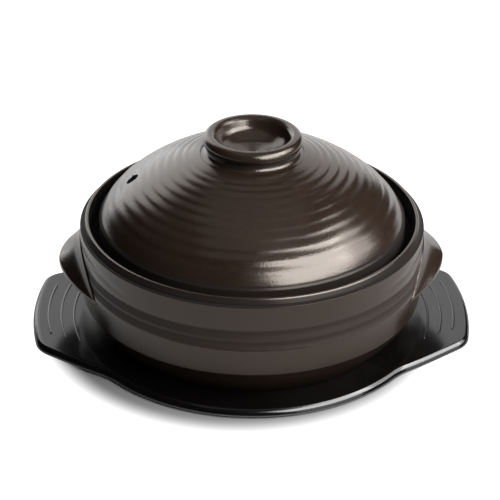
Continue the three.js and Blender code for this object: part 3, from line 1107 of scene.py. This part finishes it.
    def pierce(self, piece: bpy.types.Object) -> None:
        """Cuts the steam vent through the dome.

        Args:
            piece: The lid.
        """
        low, high = self.vent_cut
        corners = [
            Corner(0.0, low),
            Corner(self.vent_radius, low),
            Corner(self.vent_radius, high),
            Corner(0.0, high),
        ]
        turn = math.radians(self.vent_bearing)
        grid = revolved(rounded(corners, self.vent_step), self.vent_sides)
        grid[..., 0] += self.vent_reach * math.cos(turn)
        grid[..., 1] += self.vent_reach * math.sin(turn)
        cutter = shell("vent_cutter", grid, self.glaze)
        cut = piece.modifiers.new("vent", "BOOLEAN")
        cut.object = cutter
        cut.solver = "EXACT"
        settle(piece)
        bpy.data.objects.remove(cutter)

    def build(self) -> None:
        """Builds, dresses and places the lid."""
        piece = shell("lid_thrown", revolved(self.outline(), self.sides), self.glaze)
        self.throw_rings(piece)
        self.pierce(piece)
        place(piece, Body.LID, self.slot, "lid_dome")


@dataclass
class Knob:
    """Hollow ring knob luted to the crown of the lid.

    Tables hold corners of the outline in millimetres, as offsets takes them.
    """

    glaze: bpy.types.Material
    slot: str
    base: float
    crest: float
    radius: float = 28.6 * MM
    sides: int = 192
    step: float = 0.8 * MM
    flare: Rows = ((7.0, -3.0), (5.6, -0.9, 0.3), (-2.2, 0.9, 8.0))
    roll: Rows = (
        (-3.2, 5.6, 0.9),
        (-0.4, 6.9, 0.5),
        (0.1, 9.0, 2.0),
        (-0.6, 10.6, 4.0),
        (-2.1, 12.3, 3.0),
    )
    dish: Rows = ((-5.4, 0.0, 3.0), (-7.4, -2.0, 0.9), (-9.6, -7.2, 7.0), (-16.0, -10.6, 14.0))
    dish_depth: float = 13.2 * MM

    def outline(self) -> np.ndarray:
        """Gives the outline from the underside over the roll into the dish.

        Returns:
            Rows of distance from the axis and height.
        """
        side = offsets(self.radius, self.base, self.flare + self.roll)
        corners = [
            Corner(0.0, side[0].up),
            *side,
            *offsets(self.radius, self.crest, self.dish),
            Corner(0.0, self.crest - self.dish_depth),
        ]
        return rounded(corners, self.step)

    def build(self) -> None:
        """Builds, dresses and places the knob."""
        piece = shell("knob_thrown", revolved(self.outline(), self.sides), self.glaze)
        place(piece, Body.LID, self.slot, "lid_knob")


@dataclass
class Tray:
    """Moulded serving tray with a round dish, two raised wings, a skirt and grip ribs.

    Tables hold corners of the edge in millimetres, as offsets takes them, with the distance
    in from the plan's edge in place of that from the axis. Rows are millimetres too.
    """

    melamine: bpy.types.Material
    slot: str
    radius: float
    wing_tip: float
    floor: float
    rise: float = 5.2 * MM
    wings: Wings = Wings()
    tip_half_width: float = 38.0 * MM
    root_angle: float = 38.5
    end_radius: float = 170.0 * MM
    corner_radius: float = 15.0 * MM
    blend_radius: float = 40.0 * MM
    arc_points: tuple[int, ...] = (26, 22, 24, 70)
    line_points: int = 8
    least_gap: float = 0.02 * MM
    clearance: float = 0.8 * MM
    skirt_edge: Rows = ((1.2, 0.0), (0.0, 0.0, 0.6), (0.0, 1.5, 1.2), (0.7, 3.0, 4.0))
    skirt_thickness: float = 3.0 * MM
    rim_width: float = 2.9 * MM
    rim_roll: Rows = ((-0.6, -0.1, 0.8),)
    edge: float = 4.0 * MM
    edge_step: float = 0.4 * MM
    wing_rows: tuple[float, ...] = (128.0, 104.0, -1.5)
    brim_rows: tuple[float, ...] = (104.0, 93.0, -0.4)
    floor_rows: tuple[float, ...] = (92.0, 90.0, 86.0, 80.0, 60.0, 30.0, 0.0)
    dish_slope: float = 8.0 * MM
    dish_power: float = 2.2
    dish_crease: float = 0.35 * MM
    dish_back: float = 4.0 * MM
    wall: float = 2.4 * MM
    wing_root: float = 0.5 * MM
    sheet: float = 2.7 * MM
    foot_outer: float = 80.0 * MM
    foot_width: float = 4.0 * MM
    foot_draft: float = 0.3 * MM
    rib_count: int = 3
    rib_first: float = 106.0 * MM
    rib_pitch: float = 7.5 * MM
    rib_radius: float = 0.7 * MM
    rib_half: float = 36.0 * MM
    rib_shortening: float = 4.0 * MM
    rib_taper: float = 0.75
    rib_points: int = 97
    rib_sides: int = 16

    @staticmethod
    def tangent_centre(
        normal: np.ndarray, off_line: float, centre: np.ndarray, off_centre: float
    ) -> np.ndarray:
        """Finds the centre of a circle that touches a line and another circle.

        Args:
            normal: Unit normal of the line.
            off_line: Distance of the wanted centre along that normal.
            centre: Centre of the other circle.
            off_centre: Distance of the wanted centre from it.

        Returns:
            The wanted centre.
        """
        along = np.array([normal[1], -normal[0]])
        base = normal * off_line - centre
        forward = base @ along
        step = math.sqrt(forward**2 - base @ base + off_centre**2) - forward
        return normal * off_line + along * step

    def quarter(self) -> tuple[np.ndarray, np.ndarray]:
        """Samples a quarter of the plan from the end of a wing round to the back of the dish.

        Returns:
            Points of the edge and the outward normals there.
        """
        tip = np.array([self.wing_tip, self.tip_half_width])
        angle = math.radians(self.root_angle)
        root = self.radius * np.array([math.cos(angle), math.sin(angle)])
        side = np.array([root[1] - tip[1], tip[0] - root[0]])
        normal = side / np.linalg.norm(side)
        line = float(normal @ tip)
        middle = np.zeros(2)
        end = np.array([self.wing_tip - self.end_radius, 0.0])
        corner = self.tangent_centre(
            normal, line - self.corner_radius, end, self.end_radius - self.corner_radius
        )
        blend = self.tangent_centre(
            normal, line + self.blend_radius, middle, self.radius + self.blend_radius
        )
        turn = math.atan2(normal[1], normal[0])
        corner_turn = math.atan2(corner[1], corner[0] - end[0])
        blend_turn = math.atan2(blend[1], blend[0])
        stretches = [
            (end, self.end_radius, 0.0, corner_turn, 1.0),
            (corner, self.corner_radius, corner_turn, turn, 1.0),
            (blend, self.blend_radius, turn - math.pi, blend_turn - math.pi, -1.0),
            (middle, self.radius, blend_turn, math.pi / 2, 1.0),
        ]
        points, normals = [], []
        for (centre, radius, start, stop, facing), count in zip(stretches, self.arc_points):
            turns = np.linspace(start, stop, count)
            ray = np.stack([np.cos(turns), np.sin(turns)], axis=1)
            points.append(centre + radius * ray)
            normals.append(facing * ray)
        gap = np.linspace(points[1][-1], points[2][0], self.line_points)[1:-1]
        points.insert(2, gap)
        normals.insert(2, np.repeat(normal[None], len(gap), axis=0))
        edge, out = np.concatenate(points), np.concatenate(normals)
        steps = np.linalg.norm(np.diff(edge, axis=0), axis=1)
        fresh = np.append(True, steps > self.least_gap)
        return edge[fresh], out[fresh]

    def plan(self) -> tuple[np.ndarray, np.ndarray]:
        """Mirrors the quarter into the whole plan, counter-clockwise.

        Returns:
            Points of the edge and the outward normals there.
        """
        whole = []
        for rows in self.quarter():
            left = rows[:-1][::-1] * np.array([-1.0, 1.0])
            half = np.concatenate([rows, left])
            front = half[1:-1][::-1] * np.array([1.0, -1.0])
            whole.append(np.concatenate([half, front]))
        return whole[0], whole[1]

    def topped(self, spot: np.ndarray, up: float) -> np.ndarray:
        """Gives a row of the upper face, sunk where the dish is.

        Args:
            spot: Places in the plan.
            up: Height outside the dish.

        Returns:
            The row of points.
        """
        start = self.radius - self.rim_width - self.dish_slope
        share = np.clip((np.hypot(*spot.T) - start) / self.dish_slope, 0.0, None)
        dish = self.floor + (self.rise - self.floor) * share**self.dish_power
        level = soft_least(np.full(len(spot), up), dish, self.dish_crease)
        return np.column_stack([spot, level])

    def top_rows(self, edge: np.ndarray, out: np.ndarray) -> list[np.ndarray]:
        """Gives the rows of the outer face, from the skirt over the rounded edge to the middle.

        Args:
            edge: Points of the plan.
            out: Outward normals there.

        Returns:
            Rows of points.
        """
        corners = [
            *offsets(0.0, self.clearance, self.skirt_edge),
            *offsets(self.rim_width, self.rise, self.rim_roll),
            Corner(self.edge, self.rise),
        ]
        rows = []
        for inset, up in rounded(corners, self.edge_step):
            rows.append(self.topped(edge - inset * out, up))
        ring = edge - self.edge * out
        span = np.hypot(*ring.T)
        wing, brim = np.arange(*self.wing_rows), np.arange(*self.brim_rows)
        for stop in np.concatenate([wing, brim, self.floor_rows]) * MM:
            rows.append(self.topped(ring * (np.minimum(stop, span) / span)[:, None], self.rise))
        return rows

    def under_rows(self, edge: np.ndarray, out: np.ndarray) -> list[np.ndarray]:
        """Gives the rows of the underside, from the middle out to the skirt.

        Args:
            edge: Points of the plan.
            out: Outward normals there.

        Returns:
            Rows of points.
        """
        skirt = edge - self.skirt_thickness * out
        span = np.hypot(*skirt.T)
        sheet = self.floor - self.sheet
        wing = self.rise - self.wall
        foot, draft = self.foot_outer, self.foot_draft
        root = self.radius + self.wing_root
        stops = [
            (0.0, sheet),
            (foot - self.foot_width - draft, sheet),
            (foot - self.foot_width, 0.0),
            (foot - draft, 0.0),
            (foot, sheet),
            (self.radius - self.dish_back, sheet),
            (root, wing),
        ]
        rows = []
        for reach, up in stops:
            share = np.minimum(reach, span) / span
            height = np.where(reach <= span, up, sheet)
            rows.append(np.column_stack([skirt * share[:, None], height]))
        rows.append(np.column_stack([skirt, np.where(span > root, wing, sheet)]))
        rows.append(np.column_stack([skirt, np.full(len(skirt), self.clearance)]))
        return rows

    def build_body(self) -> None:
        """Builds, dresses and places the moulding."""
        edge, out = self.plan()
        grid = np.stack(self.under_rows(edge, out) + self.top_rows(edge, out))
        grid[..., 2] += self.wings.height(grid[..., 0])
        place(shell("tray_moulded", grid, self.melamine), Body.TRAY, self.slot, "tray")

    def build_ribs(self) -> None:
        """Lays the grip ribs on both wings by rule, then dresses and places them."""
        piece = stand("tray_grip_ribs", bpy.data.meshes.new("tray_grip_ribs"))
        recipe = Recipe("grip_ribs")
        bench = recipe.bench
        count = recipe.size("Ribs on a wing", self.rib_count, "NodeSocketInt")
        first = recipe.size("First rib", self.rib_first)
        pitch = recipe.size("Rib pitch", self.rib_pitch)
        half = recipe.size("Half length", self.rib_half)
        less = recipe.size("Shortening", self.rib_shortening)
        thick = recipe.size("Rib radius", self.rib_radius)
        level = recipe.size("Wing height", self.rise)
        start = recipe.size("Lift start", self.wings.start)
        stop = recipe.size("Lift end", self.wings.stop)
        raise_by = recipe.size("Wing lift", self.wings.lift)
        line = bench.node("GeometryNodeCurvePrimitiveLine")
        fine = bench.node(
            "GeometryNodeResampleCurve", None, {"Curve": line, "Count": self.rib_points}
        )
        spots = bench.node("GeometryNodePoints", None, {"Count": count * 2.0})
        laid = bench.node(
            "GeometryNodeInstanceOnPoints", None, {"Points": spots, "Instance": fine}
        )
        curves = bench.node("GeometryNodeRealizeInstances", None, {"Geometry": laid})
        index = bench.value("GeometryNodeCurveOfPoint", output="Curve Index")
        along = bench.value("GeometryNodeSplineParameter", output="Factor")
        wing = index % 2.0
        row = (index / 2.0).floor()
        radius = first + row * pitch
        sweep = (along * math.pi).cosine()
        bearing = wing * math.pi + sweep * (half - row * less) / radius
        east, north = radius * bearing.cosine(), radius * bearing.sine()
        up = level + self.wings.signal(east, raise_by, start, stop)
        spot = bench.node("ShaderNodeCombineXYZ", None, {"X": east, "Y": north, "Z": up})
        placed = bench.node(
            "GeometryNodeSetPosition", None, {"Geometry": curves, "Position": spot}
        )
        end = (1.0 - (sweep * sweep)).root() * (half / thick) * self.rib_taper
        taper = end.least(1.0)
        sized = bench.node(
            "GeometryNodeSetCurveRadius", None, {"Curve": placed, "Radius": taper}
        )
        ring = bench.node(
            "GeometryNodeCurvePrimitiveCircle",
            None,
            {"Resolution": self.rib_sides, "Radius": thick},
        )
        bars = bench.node(
            "GeometryNodeCurveToMesh",
            None,
            {"Curve": sized, "Profile Curve": ring, "Scale": taper, "Fill Caps": True},
        )
        recipe.run(piece, bars, self.melamine)
        piece.data.shade_smooth()
        place(piece, Body.TRAY, self.slot)

    def build(self) -> None:
        """Builds the moulding and its ribs."""
        self.build_body()
        self.build_ribs()


@dataclass
class Studio:
    """Floor with a painted shadow, soft lamps, a dim room, white surroundings and the camera.
    """

    target: float = 47.02 * MM
    distance: float = 1.0
    bearing: float = -2.3
    rise: float = 29.58
    roll: float = 0.57
    aside: float = -1.0 * MM
    lens: float = 122.1
    sensor: float = 36.0
    boom: float = 1.1
    lamp_target: float = 50.0 * MM
    # Grey paper tone. The eye sees it only in the painted shadow round the object, and
    # reflections see it near the object.
    floor_tone: Colour = (0.18, 0.18, 0.18)
    floor_white: float = 1.5
    floor_front: float = 0.27
    floor_far: float = 2.0
    painted_shadow_shift: float = 7.5 * MM
    painted_shadow_edge: Span = (0.1045, 0.1264)
    near_edge: Span = (0.130, 0.148)
    near_gloss: float = 0.46
    far_edge: Span = (0.36, 0.60)
    far_back: Span = (-0.20, 0.15)
    far_gloss: float = 0.5
    room_radius: float = 2.6
    room_tone: Colour = (0.055, 0.055, 0.055)

    @staticmethod
    def aim(spot: Vector, target: Vector) -> Matrix:
        """Gives the world matrix of a lamp or camera that looks from a spot at a target."""
        turn = (target - spot).to_track_quat("-Z", "Y")
        return Matrix.Translation(spot) @ turn.to_matrix().to_4x4()

    @staticmethod
    def towards(bearing: float, rise: float) -> Vector:
        """Gives a direction from the object.

        Args:
            bearing: Degrees from the front towards the right.
            rise: Degrees above the table.

        Returns:
            The unit vector.
        """
        turn, up = math.radians(bearing), math.radians(rise)
        flat = math.cos(up)
        return Vector((math.sin(turn) * flat, -math.cos(turn) * flat, math.sin(up)))

    def camera(self) -> None:
        """Sets the camera at the photograph's viewing angle."""
        away = self.towards(self.bearing, self.rise)
        target = Vector((0.0, 0.0, self.target))
        data = bpy.data.cameras.new("camera")
        data.sensor_width = self.sensor
        data.lens = self.lens
        view = stand("camera", data)
        level = self.aim(target + away * self.distance, target)
        sideways = level.to_3x3() @ Vector((self.aside, 0.0, 0.0))
        roll = Matrix.Rotation(math.radians(self.roll), 4, "Z")
        view.matrix_world = Matrix.Translation(sideways) @ level @ roll
        bpy.context.scene.camera = view

    def lamp(self, kind: Lamp, spot: Vector, size: Span, radiance: float) -> None:
        """Hangs a rectangular soft lamp.

        Args:
            kind: Which lamp it is.
            spot: Where it hangs.
            size: Width and height.
            radiance: Brightness of its face.
        """
        data = bpy.data.lights.new(kind.value, "AREA")
        data.shape = "RECTANGLE"
        data.size, data.size_y = size
        data.energy = radiance * math.pi * size[0] * size[1]
        lamp = stand(kind.value, data)
        lamp.matrix_world = self.aim(spot, Vector((0.0, 0.0, self.lamp_target)))
        lamp.visible_camera = False

    def lamps(self) -> None:
        """Hangs the softboxes to the right, a faint panel on top and the two panels behind."""
        self.lamp(Lamp.KEY, self.towards(48.5, 41.0) * self.boom, (1.10, 0.62), 12.5)
        self.lamp(Lamp.SIDE, self.towards(90.0, 36.0) * self.boom, (0.40, 0.56), 6.0)
        self.lamp(Lamp.STRIP, self.towards(45.0, 13.0) * self.boom, (0.80, 0.42), 2.0)
        self.lamp(Lamp.TOP, Vector((0.0, 0.0, 1.5)), (1.4, 1.4), 0.30)
        self.lamp(Lamp.BACK, Vector((-0.0975, 1.0, 0.52)), (1.695, 1.0), 1.35)
        self.lamp(Lamp.BACK_LEFT, Vector((-0.56, 1.0, 0.52)), (0.77, 1.0), 1.15)

    @staticmethod
    def white_for_view(bench: Bench, eye: Link, gloss: Link) -> Signal:
        """Gives where the surroundings are white, for the rays that show them to the eye.

        Args:
            bench: Tree that it goes into.
            eye: Share of white for the camera.
            gloss: Share of white in reflections and through glass.

        Returns:
            The share of white for the ray at hand.
        """
        path = bench.node("ShaderNodeLightPath")
        camera, glossy, through = (
            Signal(bench, path.outputs[f"Is {kind} Ray"])
            for kind in ("Camera", "Glossy", "Transmission")
        )
        return (camera * eye).most((glossy + through).least(1.0) * gloss)

    def floor(self) -> None:
        """Lays the floor. To the eye it is grey paper in a painted shadow round the object,
        shifted to the left, and white farther out. The paper also takes the real shadow.
        """
        far, front = self.floor_far, self.floor_front
        corners = [(-far, -front, 0.0), (far, -front, 0.0), (far, far, 0.0), (-far, far, 0.0)]
        mesh = bpy.data.meshes.new("floor")
        mesh.from_pydata(corners, [], [(0, 1, 2, 3)])
        floor = stand("floor", mesh)
        made = bpy.data.materials.new("floor_paper")
        bench = Bench.within(made)
        east, north, _ = bench.split(bench.place_in())
        across = east.hypot(north)
        near = across.ease(*self.near_edge) * self.near_gloss
        gloss = near + across.ease(*self.far_edge) * north.ease(*self.far_back) * self.far_gloss
        # Painted shadow: the eye sees the grey paper only in a ring round the object, shifted
        # to the left, and white beyond.
        clear = (east + self.painted_shadow_shift).hypot(north).ease(*self.painted_shadow_edge)
        share = self.white_for_view(bench, clear, gloss)
        paper = bench.node("ShaderNodeBsdfDiffuse", None, {"Color": (*self.floor_tone, 1.0)})
        white = bench.node("ShaderNodeEmission", None, {"Strength": self.floor_white})
        bench.surface(bench.node("ShaderNodeMixShader", None, {0: share, 1: paper, 2: white}))
        mesh.materials.append(made)

    def room(self) -> None:
        """Sets the dim room round the set, which the gloss shows and the camera doesn't."""
        mesh = bpy.data.meshes.new("room")
        work = bmesh.new()
        bmesh.ops.create_uvsphere(work, u_segments=32, v_segments=24, radius=self.room_radius)
        work.to_mesh(mesh)
        work.free()
        room = stand("room", mesh)
        room.visible_camera = False
        made = bpy.data.materials.new("room_walls")
        bench = Bench.within(made)
        tone = (*self.room_tone, 1.0)
        bench.surface(bench.node("ShaderNodeBsdfDiffuse", None, {"Color": tone}))
        mesh.materials.append(made)

    def surroundings(self) -> None:
        """Makes the surroundings white to the eye."""
        world = bpy.data.worlds.new("studio")
        bench = Bench.within(world)
        seen = self.white_for_view(bench, 1.0, 1.0)
        white = {"Color": (1.0, 1.0, 1.0, 1.0), "Strength": seen}
        light = bench.node("ShaderNodeBackground", None, white)
        bench.node("ShaderNodeOutputWorld", None, {"Surface": light})
        bpy.context.scene.world = world

    def build(self) -> None:
        """Sets up the whole studio."""
        bpy.context.scene.view_settings.view_transform = "Standard"
        self.camera()
        self.lamps()
        self.floor()
        self.room()
        self.surroundings()


def main() -> None:
    """Builds the studio and the pieces in order."""
    logging.basicConfig(level=logging.INFO, format="%(name)s: %(message)s")
    Studio().build()
    glaze, melamine = Glaze(), Melamine()
    clay, plastic = glaze.material(), melamine.material(Wings())
    bowl_low, bowl_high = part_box("bowl")
    lid_low, lid_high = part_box("lid_dome")
    knob_low, knob_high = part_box("lid_knob")
    tray_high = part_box("tray")[1]
    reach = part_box("ear_right")[1].x - bowl_high.x
    Tray(plastic, melamine.slot, tray_high.y, tray_high.x, floor=bowl_low.z).build()
    Bowl(clay, glaze.slot, bowl_high.x, bowl_low.z, bowl_high.z, ledge=lid_low.z).build()
    for side in Side:
        Ear(clay, glaze.slot, side, bowl_high.x, bowl_high.z, reach).build()
    Lid(clay, glaze.slot, lid_low.z, lid_high.x, bowl_high.z, crown_seat=lid_high.z).build()
    Knob(clay, glaze.slot, knob_low.z, knob_high.z).build()


if __name__ == "__main__":
    main()
